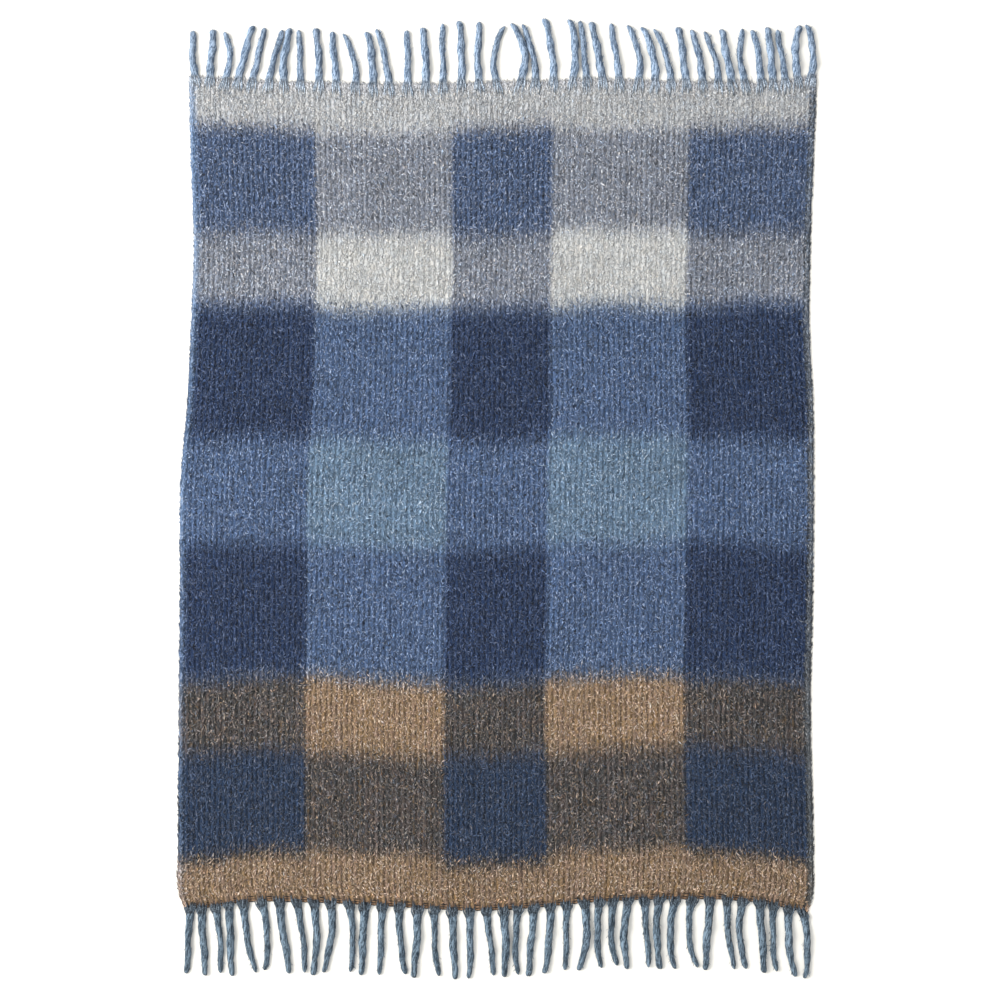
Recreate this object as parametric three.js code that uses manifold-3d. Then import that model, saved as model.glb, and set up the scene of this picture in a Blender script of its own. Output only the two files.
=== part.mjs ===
// Brushed wool throw blanket lying face up: a ribbed woven panel with a twisted fringe along each end.
// Millimetres, +Z up, +Y towards the pale end, the floor at Z = 0, the origin under the middle of the whole.
import * as THREE from 'three';
import { mergeVertices } from 'three/addons/utils/BufferGeometryUtils.js';
import Module from 'manifold-3d';

// Woven panel
const RIBS = 120;              // raised warp ribs across the width
const RIB_RISE = 0.9;          // ridge above valley
const EDGE_THICKNESS = 3.2;    // at the selvedges and the last picks
const LOFT = 1.2;              // how much thicker the brushed middle is
const LOFT_RUN = 0.05;         // share of the width over which that loft builds up
const SELVEDGE_RISE = 0.7;     // how far the rolled outermost rib stands above the edge
const EDGE_FACETS = 60;        // facets across the flat underside and along the strips beside it

// Fringe
const LOCKS_PER_ROW = 3;       // neighbouring locks that share a row of a fringe table
const STRIP_DEPTH = 10;        // strip of last picks that holds the roots
const CLOTH_GAP = 0.3;         // between the strip and the panel
const ROOT_DEPTH = 6;          // how far a root runs into the strip
const ROOT_WIDTH = 20;         // flared root, where about three ribs gather
const ROOT_THICKNESS = 2.4;
const ROOT_LIFT = 0.4;         // of a root's underside inside the strip
const LOCK_WIDTH = 12.5;       // the wide way across the two twisted plies
const LOCK_THICKNESS = 8.5;    // the narrow way across them
const FLARE_SHARE = 0.14;      // share of a lock's length over which the root narrows
const TIP_START = 0.8;         // share of a lock's length where it starts to draw in
const TIP_SHARE = 0.62;        // size of the blunt tip against the lock
const LOCK_STEPS = 8;          // rings along a lock
const TURNS = 1.05;            // turns of twist from root to tip
const TURNS_SPREAD = 0.25;
const REACH_SPREAD = 4;        // how far the tips stray from their row's reach
const SIDE_MARGIN = 14;        // least distance of a root from the selvedge
const GOLDEN = 0.618034;       // spreads the locks' small differences evenly

// Selvedges: the share of the way down from head to foot, and where each edge lies there
const SELVEDGES = [
  { down: 0, left: -638, right: 658 },
  { down: 0.1, left: -635, right: 652 },
  { down: 0.2, left: -629, right: 646 },
  { down: 0.3, left: -635, right: 644 },
  { down: 0.4, left: -644, right: 652 },
  { down: 0.48, left: -656, right: 653 },
  { down: 0.61, left: -658, right: 651 },
  { down: 0.76, left: -660, right: 646 },
  { down: 0.93, left: -662, right: 652 },
  { down: 0.98, left: -661, right: 650 },
  { down: 1, left: -650, right: 641 },
];

// Last picks: places across the width, and where the head's and the foot's edge lie there
const LAST_PICKS = [
  { x: -664, head: 873, foot: -848 },
  { x: -590, head: 868, foot: -845 },
  { x: -530, head: 864, foot: -835 },
  { x: -380, head: 859, foot: -835 },
  { x: -220, head: 855, foot: -843 },
  { x: -50, head: 859, foot: -852 },
  { x: 60, head: 862, foot: -847 },
  { x: 200, head: 865, foot: -834 },
  { x: 400, head: 861, foot: -828 },
  { x: 530, head: 860, foot: -834 },
  { x: 600, head: 863, foot: -847 },
  { x: 662, head: 873, foot: -860 },
];

// Low swells where the cloth doesn't lie quite flat
const SWELLS = [
  { x: -380, y: 430, spread: 230, rise: 1.0 },
  { x: 330, y: 170, spread: 280, rise: 0.8 },
  { x: -190, y: -330, spread: 260, rise: 0.9 },
  { x: 430, y: -560, spread: 210, rise: 1.0 },
  { x: 90, y: 690, spread: 180, rise: 0.7 },
];

// Fringes, left to right: the middle lock's root, how far each of the three tips lies right of its root,
// how far each lock bows to the right on its way, and how far they reach
const HEAD_LOCKS = [
  { root: -597, leans: [-6, 9, 4], bows: [-3, 0, 9], reach: 101 },
  { root: -513, leans: [33, 29, 31], bows: [0, 2, 0], reach: 111 },
  { root: -408, leans: [13, -3, -6], bows: [-4, 0, 2], reach: 111 },
  { root: -296, leans: [-10, -24, -12], bows: [0, 8, 4], reach: 108 },
  { root: -186, leans: [-27, -2, -6], bows: [2, 0, 2], reach: 117 },
  { root: -77, leans: [-2, -4, 0], bows: [0, 3, -3], reach: 127 },
  { root: 41, leans: [12, -12, -27], bows: [-12, 15, 6], reach: 120 },
  { root: 151, leans: [-19, -3, -14], bows: [5, 8, 0], reach: 126 },
  { root: 253, leans: [-25, -19, -20], bows: [0, 0, 10], reach: 119 },
  { root: 358, leans: [-25, -34, -17], bows: [8, 6, 0], reach: 111 },
  { root: 457, leans: [-23, -30, -24], bows: [3, 5, 0], reach: 109 },
  { root: 544, leans: [-9, -17, -12], bows: [-7, 3, 0], reach: 113 },
  { root: 623, leans: [-19, 0, -6], bows: [0, -6, 8], reach: 109 },
];
const FOOT_LOCKS = [
  { root: -614, leans: [-8, 9, 12], bows: [0, 0, 3], reach: 137 },
  { root: -528, leans: [6, 26, 9], bows: [0, -3, 7], reach: 144 },
  { root: -418, leans: [23, 19, 0], bows: [0, 3, 5], reach: 146 },
  { root: -311, leans: [-15, 5, -8], bows: [7, 6, 0], reach: 142 },
  { root: -203, leans: [-6, 12, -8], bows: [0, -4, 2], reach: 142 },
  { root: -95, leans: [8, 6, 0], bows: [-3, 0, 2], reach: 139 },
  { root: 10, leans: [17, 3, -2], bows: [0, 3, -4], reach: 136 },
  { root: 108, leans: [-13, -12, -3], bows: [0, 3, 0], reach: 137 },
  { root: 211, leans: [-9, 2, 4], bows: [8, -5, -7], reach: 136 },
  { root: 302, leans: [-5, 10, 0], bows: [-6, 0, -6], reach: 140 },
  { root: 404, leans: [-4, 8, -11], bows: [-9, -10, 0], reach: 143 },
  { root: 509, leans: [15, 5, 11], bows: [-4, -9, 0], reach: 143 },
  { root: 602, leans: [5, 12, 7], bows: [-4, -5, 7], reach: 137 },
];

// Finish
const BLUE_WOOL = new THREE.MeshStandardMaterial({ color: '#5a6b87', roughness: 0.95, metalness: 0 });
const FRINGE_WOOL = new THREE.MeshStandardMaterial({ color: '#8fa8be', roughness: 0.95, metalness: 0 });

const wasm = await Module();
wasm.setup();

// A smooth line through one column of a table, as a function of its place column
function follow(rows, place, column) {
  const places = rows.map((row) => row[place]);
  const values = rows.map((row) => row[column]);
  const line = new THREE.CubicInterpolant(places, values, 1, new Float32Array(1));
  return (at) => line.evaluate(at)[0];
}

const headEdge = follow(LAST_PICKS, 'x', 'head');
const footEdge = follow(LAST_PICKS, 'x', 'foot');

// Moves every point of a geometry to where spot puts it
function reshape(geometry, spot) {
  const position = geometry.attributes.position;
  const point = new THREE.Vector3();
  for (let i = 0; i < position.count; i += 1) {
    point.fromBufferAttribute(position, i);
    position.setXYZ(i, ...spot(point, i));
  }
  return geometry;
}

// Keeps only the places of a geometry's points, each shared point once
function welded(geometry) {
  geometry.deleteAttribute('normal');
  geometry.deleteAttribute('uv');
  return mergeVertices(geometry);
}

// Height of the brushed face over the floor, u across and down from the head as shares
function faceHeight(u, down, x, y, onRidge) {
  const fromSide = Math.min(u, 1 - u);
  const fromEnd = Math.min(down, 1 - down);
  const loft = LOFT * THREE.MathUtils.smoothstep(Math.min(fromSide, fromEnd), 0, LOFT_RUN);
  const swell = SWELLS.reduce((sum, { x: sx, y: sy, spread, rise }) => {
    const far = Math.hypot(x - sx, y - sy) / spread;
    return sum + rise * Math.exp(-far * far);
  }, 0);
  const rolled = fromSide < 1 / RIBS ? SELVEDGE_RISE : 0;
  const rib = onRidge ? RIB_RISE + rolled : 0;
  return EDGE_THICKNESS + loft + rib + swell * THREE.MathUtils.smoothstep(fromEnd, 0, LOFT_RUN);
}

// Place on the panel's plan, u across and row down the selvedge table
function planSpot(u, row) {
  const { down, left, right } = SELVEDGES[row];
  const x = THREE.MathUtils.lerp(left, right, u);
  const inset = STRIP_DEPTH + CLOTH_GAP;
  const y = THREE.MathUtils.lerp(headEdge(x) - inset, footEdge(x) + inset, down);
  return [x, y, down];
}

// Triangles that close the rim between a row of the face and a coarser row of the underside
function endRim(faceRow, underRow) {
  const ratio = (faceRow.length - 1) / (underRow.length - 1);
  const triangles = [];
  for (let i = 0; i < faceRow.length - 1; i += 1) {
    const under = Math.round(i / ratio);
    triangles.push(underRow[under], faceRow[i + 1], faceRow[i]);
    const next = Math.round((i + 1) / ratio);
    if (next > under) {
      triangles.push(underRow[under], underRow[next], faceRow[i + 1]);
    }
  }
  return triangles;
}

// The woven panel: a ribbed face, a flat underside and the rim between them
function clothGeometry() {
  const rows = SELVEDGES.length - 1;
  const columns = 2 * RIBS;
  const face = new THREE.PlaneGeometry(1, 1, columns, rows);
  reshape(face, (point, i) => {
    const column = i % (columns + 1);
    const u = column / columns;
    const [x, y, down] = planSpot(u, Math.floor(i / (columns + 1)));
    return [x, y, faceHeight(u, down, x, y, column % 2 === 1)];
  });
  const under = new THREE.PlaneGeometry(1, 1, EDGE_FACETS, rows);
  reshape(under, (point, i) => {
    const [x, y] = planSpot((i % (EDGE_FACETS + 1)) / EDGE_FACETS, Math.floor(i / (EDGE_FACETS + 1)));
    return [x, y, 0];
  });

  const faceCount = face.attributes.position.count;
  const faceAt = (row, column) => row * (columns + 1) + column;
  const underAt = (row, column) => faceCount + row * (EDGE_FACETS + 1) + column;
  const faceRow = (row) => Array.from({ length: columns + 1 }, (_, column) => faceAt(row, column));
  const underRow = (row) => Array.from({ length: EDGE_FACETS + 1 }, (_, column) => underAt(row, column));
  const index = [...face.index.array];
  index.push(...Array.from(under.index.array, (i) => faceCount + i).reverse());
  index.push(...endRim(faceRow(0), underRow(0)).reverse());
  index.push(...endRim(faceRow(rows), underRow(rows)));
  for (let row = 0; row < rows; row += 1) {
    index.push(faceAt(row, 0), underAt(row, 0), faceAt(row + 1, 0));
    index.push(faceAt(row + 1, 0), underAt(row, 0), underAt(row + 1, 0));
    index.push(faceAt(row, columns), faceAt(row + 1, columns), underAt(row, EDGE_FACETS));
    index.push(faceAt(row + 1, columns), underAt(row + 1, EDGE_FACETS), underAt(row, EDGE_FACETS));
  }
  const cloth = new THREE.BufferGeometry();
  const places = [...face.attributes.position.array, ...under.attributes.position.array];
  cloth.setAttribute('position', new THREE.Float32BufferAttribute(places, 3));
  cloth.setIndex(index);
  return cloth;
}

// A closed geometry as a solid that can be joined to others
function solidOf(geometry) {
  const closed = welded(geometry);
  const vertProperties = Float32Array.from(closed.attributes.position.array);
  const triVerts = Uint32Array.from(closed.index.array);
  return new wasm.Manifold(new wasm.Mesh({ numProp: 3, vertProperties, triVerts }));
}

// A joined solid as a geometry
function geometryOf(solid) {
  const { vertProperties, triVerts } = solid.getMesh();
  const geometry = new THREE.BufferGeometry();
  geometry.setAttribute('position', new THREE.BufferAttribute(vertProperties, 3));
  geometry.setIndex(new THREE.BufferAttribute(triVerts, 1));
  return geometry;
}

// The strip of last picks along one end; outward is 1 at the head and -1 at the foot
function stripGeometry(edge, left, right, outward) {
  const strip = new THREE.BoxGeometry(1, 1, 1, EDGE_FACETS, 1, 1);
  return reshape(strip, (point) => {
    const x = THREE.MathUtils.lerp(left, right, point.x + 0.5);
    const inward = STRIP_DEPTH * (0.5 - outward * point.y);
    return [x, edge(x) - outward * inward, EDGE_THICKNESS * (point.z + 0.5)];
  });
}

// One lock: two plies twisted together, flared where they leave the strip and level on the floor
function lockGeometry(lock, edge, outward) {
  const spread = 2 * ((lock.number * GOLDEN) % 1) - 1;
  const reach = lock.reach + REACH_SPREAD * spread;
  const turns = TURNS + TURNS_SPREAD * spread;
  const rootY = edge(lock.root) - outward * ROOT_DEPTH;
  const body = new THREE.CylinderGeometry(1, 1, 1, 4, LOCK_STEPS);
  return reshape(body, (point) => {
    const t = 0.5 + outward * point.y;
    const free = THREE.MathUtils.smoothstep(t, 0, FLARE_SHARE);
    const blunt = THREE.MathUtils.lerp(1, TIP_SHARE, THREE.MathUtils.smoothstep(t, TIP_START, 1));
    const halfWidth = 0.5 * blunt * THREE.MathUtils.lerp(ROOT_WIDTH, LOCK_WIDTH, free);
    const halfThickness = 0.5 * blunt * THREE.MathUtils.lerp(ROOT_THICKNESS, LOCK_THICKNESS, free);
    const twist = outward * 2 * Math.PI * turns * Math.max(0, t - FLARE_SHARE);
    const across = halfWidth * (point.x - point.z);
    const up = halfThickness * (point.x + point.z);
    const route = lock.root + lock.lean * t + 4 * lock.bow * t * (1 - t);
    const level = halfWidth * Math.abs(Math.sin(twist)) + halfThickness * Math.abs(Math.cos(twist));
    return [
      route + across * Math.cos(twist) - up * Math.sin(twist),
      rootY + outward * (reach + ROOT_DEPTH) * t,
      level + ROOT_LIFT * (1 - free) + across * Math.sin(twist) + up * Math.cos(twist),
    ];
  });
}

// The locks of one fringe table, each with its own root, lean and bow
function locksOf(rows, left, right) {
  const middle = (row) => row * LOCKS_PER_ROW + 1;
  return rows.flatMap(({ leans, bows, reach }, row) => leans.map((lean, place) => {
    const number = row * LOCKS_PER_ROW + place;
    const near = THREE.MathUtils.clamp(Math.floor((number - 1) / LOCKS_PER_ROW), 0, rows.length - 2);
    const share = (number - middle(near)) / LOCKS_PER_ROW;
    const root = THREE.MathUtils.lerp(rows[near].root, rows[near + 1].root, share);
    const held = THREE.MathUtils.clamp(root, left + SIDE_MARGIN, right - SIDE_MARGIN);
    return { number, root: held, lean, bow: bows[place], reach };
  }));
}

// One fringe: its strip with every lock's root joined into it
function fringeGeometry(rows, edge, { left, right }, outward) {
  const strip = solidOf(stripGeometry(edge, left, right, outward));
  const locks = locksOf(rows, left, right).map((lock) => solidOf(lockGeometry(lock, edge, outward)));
  return geometryOf(locks.reduce((whole, lock) => whole.add(lock), strip));
}

function piece(name, geometry, material) {
  geometry.computeVertexNormals();
  const mesh = new THREE.Mesh(geometry, material);
  mesh.name = name;
  return mesh;
}

const blanket = new THREE.Group();
blanket.add(piece('cloth', clothGeometry(), BLUE_WOOL));
blanket.add(piece('head_fringe', fringeGeometry(HEAD_LOCKS, headEdge, SELVEDGES[0], 1), FRINGE_WOOL));
blanket.add(piece('foot_fringe', fringeGeometry(FOOT_LOCKS, footEdge, SELVEDGES.at(-1), -1), FRINGE_WOOL));

// The origin lies under the middle of the whole blanket
const middle = new THREE.Box3().setFromObject(blanket).getCenter(new THREE.Vector3());
blanket.position.set(-middle.x, -middle.y, 0);

export default blanket;
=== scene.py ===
"""Dresses the throw blanket: a brushed, ribbed cloth with its nap and a twisted fringe along each end."""
from __future__ import annotations

import logging
import math
from dataclasses import dataclass
from enum import Enum
from typing import Any, Mapping, NamedTuple, Sequence, Union

import bpy
import numpy as np
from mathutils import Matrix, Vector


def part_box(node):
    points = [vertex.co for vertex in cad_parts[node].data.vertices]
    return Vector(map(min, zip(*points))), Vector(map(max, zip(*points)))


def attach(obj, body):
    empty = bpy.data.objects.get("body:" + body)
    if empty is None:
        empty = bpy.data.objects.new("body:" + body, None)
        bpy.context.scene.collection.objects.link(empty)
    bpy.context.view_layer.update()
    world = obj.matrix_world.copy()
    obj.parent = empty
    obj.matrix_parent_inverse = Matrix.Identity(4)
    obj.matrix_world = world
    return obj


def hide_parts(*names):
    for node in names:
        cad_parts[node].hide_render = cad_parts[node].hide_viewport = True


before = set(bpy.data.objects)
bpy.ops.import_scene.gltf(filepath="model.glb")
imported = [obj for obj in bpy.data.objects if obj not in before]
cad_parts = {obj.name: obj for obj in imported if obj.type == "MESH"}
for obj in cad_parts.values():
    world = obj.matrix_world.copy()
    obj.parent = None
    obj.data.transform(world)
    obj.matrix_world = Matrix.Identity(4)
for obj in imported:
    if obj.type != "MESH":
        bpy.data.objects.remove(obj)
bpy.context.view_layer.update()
LOG = logging.getLogger("throw")

BODY = "root"
BAKE_MAP = "OFBake"
WEAVE = "weave"
# Per-point tint: the yarn's own tone together with painted shade and light on the hairs and the locks
YARN_AND_SHADE = "yarn"
LAY = "lay"
MM = 1000
GOLDEN = 0.618034
TAU = 2 * math.pi
TINY = 1e-9
# How much brighter than its own colour the studio's light shows a surface
EXPOSURE = 1.27
# A screen's colour curve: where its straight foot ends, the foot's slope, the rest's offset and power
SCREEN_FOOT, SCREEN_SLOPE, SCREEN_OFFSET, SCREEN_POWER = 0.04045, 12.92, 0.055, 2.4
# A hair's points are its root, its two flanks and its tip; the spots are theirs in a cell of the bake map
HAIR_POINTS = 4
HAIR_FACES = np.array([[0, 2, 1], [3, 1, 2], [0, 1, 3], [0, 3, 2]])
HAIR_SPOTS = np.array([[0.08, 0.5], [0.5, 0.1], [0.5, 0.9], [0.92, 0.5]])
# The numbers of a Mix node's sockets for its two colours and the mixed one
MIX_FIRST, MIX_SECOND, MIX_RESULT = 6, 7, 2
SHEEN_ROUGHNESS = 0.6
SPECULAR_LEVEL = 0.15

Triple = tuple[float, float, float]
Colour = Triple
Span = tuple[float, float]
Array = np.ndarray


class End(Enum):
    """The blanket's two fringed ends, each with the way its locks point along Y."""

    HEAD = 1
    FOOT = -1


class Selvedge(NamedTuple):
    """Where both side edges lie at one share of the way down from head to foot."""

    down: float
    left: float
    right: float


class LastPick(NamedTuple):
    """Where the head's and the foot's last pick lie at one place across the width."""

    x: float
    head: float
    foot: float


class LockRow(NamedTuple):
    """Three neighbouring locks: the middle root, each one's lean and bow to the right, and their reach."""

    root: float
    leans: Triple
    bows: Triple
    reach: float


class Swell(NamedTuple):
    """A low rise where the cloth doesn't lie quite flat."""

    x: float
    y: float
    spread: float
    rise: float


class Wave(NamedTuple):
    """A wave over the cloth: how strong it is, and how often it comes along and across it."""

    strength: float
    along: float
    across: float


def rippled(waves: Sequence[Wave], u: Array, down: Array) -> Array:
    """The sum of some waves, by the shares of the way across and down."""
    return sum(wave.strength * np.sin(TAU * (wave.along * down + wave.across * u)) for wave in waves)


def lock_rows(*rows: tuple[int, Sequence[int], Sequence[int], int]) -> tuple[LockRow, ...]:
    """Makes rows of locks.

    Args:
        rows: Each row's root, leans, bows and reach in millimetres.

    Returns:
        The rows, in metres.
    """
    found = []
    for root, *sideways, reach in rows:
        leans, bows = (tuple(value / MM for value in values) for values in sideways)
        found.append(LockRow(root / MM, leans, bows, reach / MM))
    return tuple(found)


SELVEDGES = tuple(Selvedge(down, left / MM, right / MM) for down, left, right in (
    (0.00, -638, 658), (0.10, -635, 652), (0.20, -629, 646), (0.30, -635, 644), (0.40, -644, 652),
    (0.48, -656, 653), (0.61, -658, 651), (0.76, -660, 646), (0.93, -662, 652), (0.98, -661, 650),
    (1.00, -650, 641),
))
LAST_PICKS = tuple(LastPick(x / MM, head / MM, foot / MM) for x, head, foot in (
    (-664, 873, -848), (-590, 868, -845), (-530, 864, -835), (-380, 859, -835), (-220, 855, -843),
    (-50, 859, -852), (60, 862, -847), (200, 865, -834), (400, 861, -828), (530, 860, -834),
    (600, 863, -847), (662, 873, -860),
))
SWELLS = (
    Swell(-0.380, 0.430, 0.230, 0.0010),
    Swell(0.330, 0.170, 0.280, 0.0008),
    Swell(-0.190, -0.330, 0.260, 0.0009),
    Swell(0.430, -0.560, 0.210, 0.0010),
    Swell(0.090, 0.690, 0.180, 0.0007),
)
HEAD_LOCKS = lock_rows(
    (-597, (-6, 9, 4), (-3, 0, 9), 101), (-513, (33, 29, 31), (0, 2, 0), 111),
    (-408, (13, -3, -6), (-4, 0, 2), 111), (-296, (-10, -24, -12), (0, 8, 4), 108),
    (-186, (-27, -2, -6), (2, 0, 2), 117), (-77, (-2, -4, 0), (0, 3, -3), 127),
    (41, (12, -12, -27), (-12, 15, 6), 120), (151, (-19, -3, -14), (5, 8, 0), 126),
    (253, (-25, -19, -20), (0, 0, 10), 119), (358, (-25, -34, -17), (8, 6, 0), 111),
    (457, (-23, -30, -24), (3, 5, 0), 109), (544, (-9, -17, -12), (-7, 3, 0), 113),
    (623, (-19, 0, -6), (0, -6, 8), 109),
)
FOOT_LOCKS = lock_rows(
    (-614, (-8, 9, 12), (0, 0, 3), 137), (-528, (6, 26, 9), (0, -3, 7), 144),
    (-418, (23, 19, 0), (0, 3, 5), 146), (-311, (-15, 5, -8), (7, 6, 0), 142),
    (-203, (-6, 12, -8), (0, -4, 2), 142), (-95, (8, 6, 0), (-3, 0, 2), 139),
    (10, (17, 3, -2), (0, 3, -4), 136), (108, (-13, -12, -3), (0, 3, 0), 137),
    (211, (-9, 2, 4), (8, -5, -7), 136), (302, (-5, 10, 0), (-6, 0, -6), 140),
    (404, (-4, 8, -11), (-9, -10, 0), 143), (509, (15, 5, 11), (-4, -9, 0), 143),
    (602, (5, 12, 7), (-4, -5, 7), 137),
)


def dye(red: int, green: int, blue: int) -> Colour:
    """A colour of 0 to 255, as it looks under the studio's light, as the wool's own linear colour.

    Args:
        red: The red share.
        green: The green share.
        blue: The blue share.

    Returns:
        The wool's colour in linear light.
    """
    found = []
    for share in (red / 255, green / 255, blue / 255):
        curved = ((share + SCREEN_OFFSET) / (1 + SCREEN_OFFSET)) ** SCREEN_POWER
        found.append((share / SCREEN_SLOPE if share <= SCREEN_FOOT else curved) / EXPOSURE)
    return tuple(found)


def smooth(values: Array, low: float, high: float) -> Array:
    """A soft step from 0 at low to 1 at high."""
    share = np.clip((values - low) / (high - low), 0, 1)
    return share * share * (3 - 2 * share)


def through(places: Sequence[float], values: Sequence[float], at: Array) -> Array:
    """A smooth line through a table's column, level at both of its ends.

    Args:
        places: The table's places, rising.
        values: The column's value at each place.
        at: Where the line is read.

    Returns:
        The line's values there.
    """
    place, value = np.asarray(places, float), np.asarray(values, float)
    slope = np.diff(value) / np.diff(place)
    tangent = np.concatenate(([0.0], (slope[1:] + slope[:-1]) / 2, [0.0]))
    at = np.clip(at, place[0], place[-1])
    low = np.clip(np.searchsorted(place, at, side="right") - 1, 0, len(slope) - 1)
    run = place[low + 1] - place[low]
    t = (at - place[low]) / run
    start = (1 + 2 * t) * (1 - t) ** 2 * value[low] + t * (1 - t) ** 2 * run * tangent[low]
    finish = t * t * (3 - 2 * t) * value[low + 1] + t * t * (t - 1) * run * tangent[low + 1]
    return start + finish


class Sketch(NamedTuple):
    """A mesh as arrays: its points, its faces and each face corner's place on the bake map."""

    points: Array
    faces: Array
    corners: Array


def joined(sketches: Sequence[Sketch], cells: Span, spots: Sequence[Span]) -> Sketch:
    """Puts several sketches of equal-sided faces into one, each in its own cell of the bake map.

    Args:
        sketches: The sketches, in order.
        cells: How many cells the bake map has each way.
        spots: Each sketch's cell.

    Returns:
        One sketch of them all.
    """
    starts = np.cumsum([0] + [len(sketch.points) for sketch in sketches[:-1]])
    return Sketch(
        np.concatenate([sketch.points for sketch in sketches]),
        np.concatenate([sketch.faces + start for sketch, start in zip(sketches, starts)]),
        np.concatenate([(sketch.corners + spot) / cells for sketch, spot in zip(sketches, spots)]),
    )


def mesh_piece(name: str, sketch: Sketch, finish: bpy.types.Material,
               notes: Union[Mapping[str, Array], None] = None) -> bpy.types.Object:
    """Makes a smooth-shaded object from a sketch.

    Args:
        name: The piece's name.
        sketch: Its points, faces and bake map.
        finish: Its material.
        notes: Vectors that are kept on its points, by the name of their attribute.

    Returns:
        The object, in the scene.
    """
    faces = sketch.faces
    mesh = bpy.data.meshes.new(name)
    mesh.vertices.add(len(sketch.points))
    mesh.vertices.foreach_set("co", sketch.points.astype(np.float32).ravel())
    mesh.loops.add(faces.size)
    mesh.loops.foreach_set("vertex_index", faces.astype(np.int32).ravel())
    mesh.polygons.add(len(faces))
    mesh.polygons.foreach_set("loop_start", np.arange(0, faces.size, faces.shape[1], dtype=np.int32))
    mesh.polygons.foreach_set("use_smooth", np.ones(len(faces), bool))
    bake_map = mesh.uv_layers.new(name=BAKE_MAP, do_init=False)
    bake_map.data.foreach_set("uv", sketch.corners.astype(np.float32).ravel())
    mesh.update(calc_edges=True)
    mesh.materials.append(finish)
    for note, vectors in (notes or {}).items():
        layer = mesh.attributes.new(note, "FLOAT_VECTOR", "POINT")
        layer.data.foreach_set("vector", vectors.astype(np.float32).ravel())
    piece = bpy.data.objects.new(name, mesh)
    bpy.context.scene.collection.objects.link(piece)
    return piece


class Flow:
    """A shader socket that Python's operators work on."""

    def __init__(self, shader: Shader, socket: bpy.types.NodeSocket) -> None:
        """Holds the socket and the shader that it belongs to."""
        self.shader = shader
        self.socket = socket

    def _math(self, operation: str, first: Value, second: Value = 0.0) -> Flow:
        """One Math node's result."""
        return self.shader.node("ShaderNodeMath", {"operation": operation}, {0: first, 1: second})

    def __add__(self, other: Value) -> Flow:
        """This value plus another."""
        return self._math("ADD", self, other)

    def __radd__(self, other: Value) -> Flow:
        """Another value plus this one."""
        return self._math("ADD", other, self)

    def __sub__(self, other: Value) -> Flow:
        """This value minus another."""
        return self._math("SUBTRACT", self, other)

    def __rsub__(self, other: Value) -> Flow:
        """Another value minus this one."""
        return self._math("SUBTRACT", other, self)

    def __mul__(self, other: Value) -> Flow:
        """This value times another."""
        return self._math("MULTIPLY", self, other)

    def __rmul__(self, other: Value) -> Flow:
        """Another value times this one."""
        return self._math("MULTIPLY", other, self)

    def __abs__(self) -> Flow:
        """This value without its sign."""
        return self._math("ABSOLUTE", self)

    def least(self, other: Value) -> Flow:
        """The smaller of this value and another."""
        return self._math("MINIMUM", self, other)

    def most(self, other: Value) -> Flow:
        """The larger of this value and another."""
        return self._math("MAXIMUM", self, other)

    def sine(self) -> Flow:
        """The sine of this value."""
        return self._math("SINE", self)

    def step(self, low: Value, high: Value) -> Flow:
        """A soft step from 0 at low to 1 at high."""
        inputs = {"Value": self, "From Min": low, "From Max": high}
        return self.shader.node("ShaderNodeMapRange", {"interpolation_type": "SMOOTHSTEP"}, inputs)

    def band(self, low: float, high: float, soft: float) -> Flow:
        """1 between two values and 0 outside them, with edges that are soft this far to both sides."""
        return self.step(low - soft, low + soft) - self.step(high - soft, high + soft)

    def parts(self) -> tuple[Flow, Flow, Flow]:
        """A vector's three parts."""
        node = self.shader.node("ShaderNodeSeparateXYZ", {}, {"Vector": self}).socket.node
        return tuple(Flow(self.shader, socket) for socket in node.outputs)

    def tinted(self, tint: Value) -> Flow:
        """A vector or colour times another, part by part."""
        return self.shader.node("ShaderNodeVectorMath", {"operation": "MULTIPLY"}, {0: self, 1: tint})

    def shaded(self, amount: Value) -> Flow:
        """A colour made lighter or darker by one value."""
        inputs = {"Vector": self, "Scale": amount}
        return self.shader.node("ShaderNodeVectorMath", {"operation": "SCALE"}, inputs)


Value = Union[Flow, float, Sequence[float]]


class Grain(NamedTuple):
    """A noise: its clouds to the metre, octaves, how strong the finer ones are and how it is drawn out."""

    scale: float
    detail: float = 2.0
    rough: float = 0.5
    drawn: Union[Triple, None] = None


class Coat(NamedTuple):
    """How matt a surface is, how unevenly, and how much its loose hairs catch light."""

    rough: float
    uneven: float
    sheen: float = 0.0


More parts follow.
